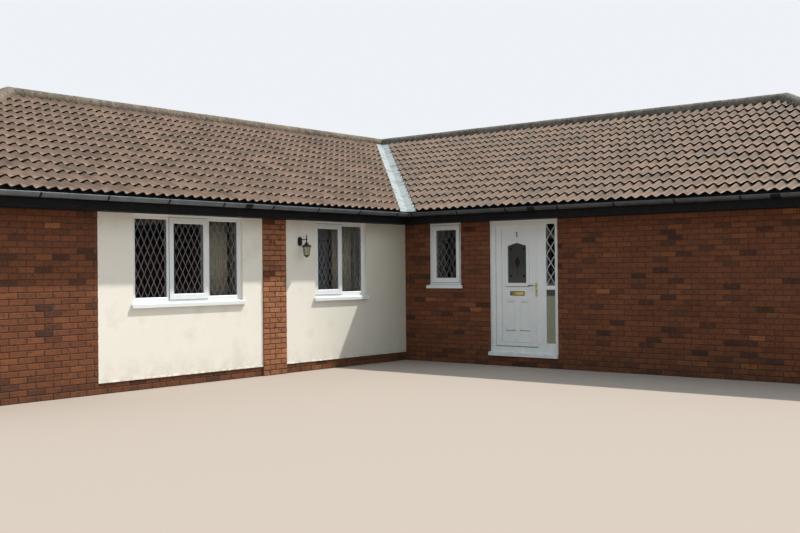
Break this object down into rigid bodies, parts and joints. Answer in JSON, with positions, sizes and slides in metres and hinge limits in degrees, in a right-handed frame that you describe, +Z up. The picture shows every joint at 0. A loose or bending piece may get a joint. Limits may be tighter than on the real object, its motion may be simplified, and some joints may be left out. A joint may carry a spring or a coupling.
{
  "type": "bungalow",
  "caption": "L-shaped single-storey house with brick and rendered walls, hipped tiled roof, leaded casement windows, boxed eaves and a hinged front door.",
  "frame": {"origin": "middle of the square round both wings, at the foot of the walls", "axes": "+Z up; +X along the door wall to the right, -Y along the rendered wall of the left wing"},
  "size_m": [16.364, 16.364, 4.3187],
  "materials": {
    "concrete": "matte",
    "plaster": "matte",
    "brick": "matte",
    "render": "matte",
    "roof_tiles": "matte",
    "ridge_tiles": "matte",
    "timber": "matte",
    "valley_lining": "matte",
    "black_plastic": "satin",
    "white_plastic": "satin",
    "white_metal": "satin",
    "window_glass": "clear",
    "door_glass": "patterned",
    "brass": "polished",
    "black_metal": "satin",
    "lantern_glass": "clear",
    "curtain_cloth": "soft"
  },
  "bodies": {
    "house": {"floor_slab": "concrete", "ceiling": "plaster", "brick_end_panel": "brick", "render_panel_left": "render", "brick_pier": "brick", "render_panel_right": "render", "front_wall_left": "brick", "front_wall_over_door": "brick", "front_wall_right": "brick", "doorway_base": "brick", "right_end_wall": "brick", "back_wall": "brick", "left_side_wall": "brick", "left_end_wall": "brick", "roof_left_inner": "roof_tiles", "roof_left_outer": "roof_tiles", "roof_left_end": "roof_tiles", "roof_right_front": "roof_tiles", "roof_right_back": "roof_tiles", "roof_right_end": "roof_tiles", "ridge_tiles_left": "ridge_tiles", "ridge_tiles_right": "ridge_tiles", "yard_hip_tiles": "ridge_tiles", "rear_hip_tiles": "ridge_tiles", "valley_boards": "timber", "valley_trough": "valley_lining", "side_fascias": "black_plastic", "front_fascias": "black_plastic", "side_soffits": "black_plastic", "front_soffits": "black_plastic", "yard_gutter_left": "black_plastic", "yard_gutter_right": "black_plastic", "outer_side_gutters": "black_plastic", "outer_front_gutters": "black_plastic", "gutter_brackets": "black_plastic", "downpipes": "black_plastic", "front_window_frames": "white_plastic", "front_window_sashes": "white_plastic", "front_window_glass": "window_glass", "front_window_sills": "white_plastic", "rear_window_frames": "white_plastic", "rear_window_sashes": "white_plastic", "rear_window_glass": "window_glass", "rear_window_sills": "white_plastic", "door_frame": "white_plastic", "door_sill": "white_plastic", "frame_hinges": "white_metal", "wall_lantern": "black_metal", "lantern_glass": "lantern_glass", "curtain_rails": "white_metal", "curtains": "curtain_cloth"},
    "front_door": {"door_leaf": "white_plastic", "door_glass": "door_glass", "letter_plate": "brass", "door_handles": "brass", "door_number": "brass", "leaf_hinges": "white_metal"}
  },
  "joints": [
    {"name": "front_door_hinge", "type": "hinge", "parent": "house", "child": "front_door", "pos_m": [0.9565, 0.931, 1.2], "axis": [0, 0, 1], "range_deg": [0, 90]}
  ]
}
